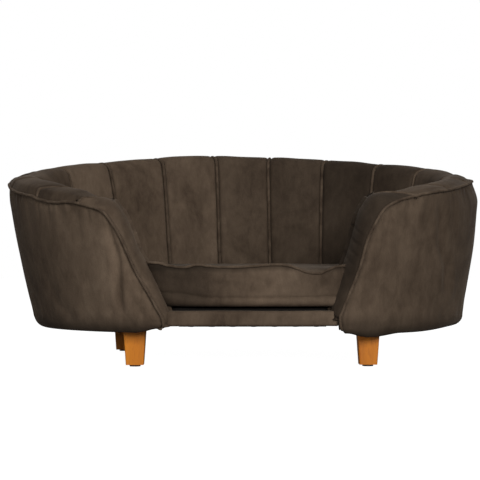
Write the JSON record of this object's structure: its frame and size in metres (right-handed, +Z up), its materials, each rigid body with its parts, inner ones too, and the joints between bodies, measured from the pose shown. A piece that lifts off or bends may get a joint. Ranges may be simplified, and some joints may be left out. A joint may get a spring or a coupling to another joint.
{
  "type": "pet armchair",
  "caption": "Low tub-shaped pet sofa with channel-padded velvet lining, rolled rim, open front between falling arms, loose seat cushion and tapered wooden legs.",
  "frame": {"origin": "middle of the outline, on the floor", "axes": "+X towards the chair's right end as seen from the front, +Y towards the back, +Z up"},
  "size_m": [0.8228, 0.6442, 0.3634],
  "materials": {
    "lining_velvet": "short-pile velvet",
    "outer_velvet": "short-pile velvet",
    "seat_velvet": "short-pile velvet",
    "piping_velvet": "velvet-covered cord",
    "deck_cloth": "plain cloth over foam",
    "dust_cloth": "non-woven cloth",
    "foam": "open-cell foam",
    "plywood": "sanded plywood",
    "leg_wood": "honey oiled wood",
    "zinc_steel": "zinc plated",
    "zip_cloth": "woven tape",
    "zip_nylon": "moulded",
    "glide_felt": "felt pad"
  },
  "bodies": {
    "tub": {"arm_front_board_left": "plywood", "arm_front_board_right": "plywood", "arm_front_pad_left": "lining_velvet", "arm_front_pad_right": "lining_velvet", "base_board": "plywood", "channel_pad_back_0": "lining_velvet", "channel_pad_left_1": "lining_velvet", "channel_pad_left_2": "lining_velvet", "channel_pad_left_3": "lining_velvet", "channel_pad_left_4": "lining_velvet", "channel_pad_left_5": "lining_velvet", "channel_pad_left_6": "lining_velvet", "channel_pad_left_7": "lining_velvet", "channel_pad_right_1": "lining_velvet", "channel_pad_right_2": "lining_velvet", "channel_pad_right_3": "lining_velvet", "channel_pad_right_4": "lining_velvet", "channel_pad_right_5": "lining_velvet", "channel_pad_right_6": "lining_velvet", "channel_pad_right_7": "lining_velvet", "deck_pad": "deck_cloth", "dust_cover": "dust_cloth", "front_rail": "plywood", "front_rail_cover": "outer_velvet", "hanger_bolts": "zinc_steel", "leg_front_left": "leg_wood", "leg_front_right": "leg_wood", "leg_glides": "glide_felt", "leg_rear_left": "leg_wood", "leg_rear_right": "leg_wood", "outer_cover_back": "outer_velvet", "outer_cover_left": "outer_velvet", "outer_cover_right": "outer_velvet", "rib_1_left": "plywood", "rib_1_right": "plywood", "rib_2_left": "plywood", "rib_2_right": "plywood", "rib_3_left": "plywood", "rib_3_right": "plywood", "rib_screws": "zinc_steel", "rim_piping": "piping_velvet", "shell_board_back": "plywood", "shell_board_left": "plywood", "shell_board_right": "plywood", "tee_nuts": "zinc_steel", "top_rail_back": "plywood", "top_rail_left": "plywood", "top_rail_right": "plywood", "top_rail_screws": "zinc_steel"},
    "cushion": {"cushion_bottom_panel": "seat_velvet", "cushion_boxing": "seat_velvet", "cushion_foam": "foam", "cushion_piping": "piping_velvet", "cushion_top_panel": "seat_velvet", "zip_tape": "zip_cloth"},
    "zip_slider_body": {"zip_slider": "zip_nylon"}
  },
  "joints": [
    {"name": "cushion_lift", "type": "slide", "parent": "tub", "child": "cushion", "axis": [0, 0, 1], "range_m": [0, 0.3]},
    {"name": "zip_travel", "type": "hinge", "parent": "cushion", "child": "zip_slider_body", "pos_m": [0, -0.23357, 0.131], "axis": [0, 0, 1], "range_deg": [0, 31.5]}
  ]
}
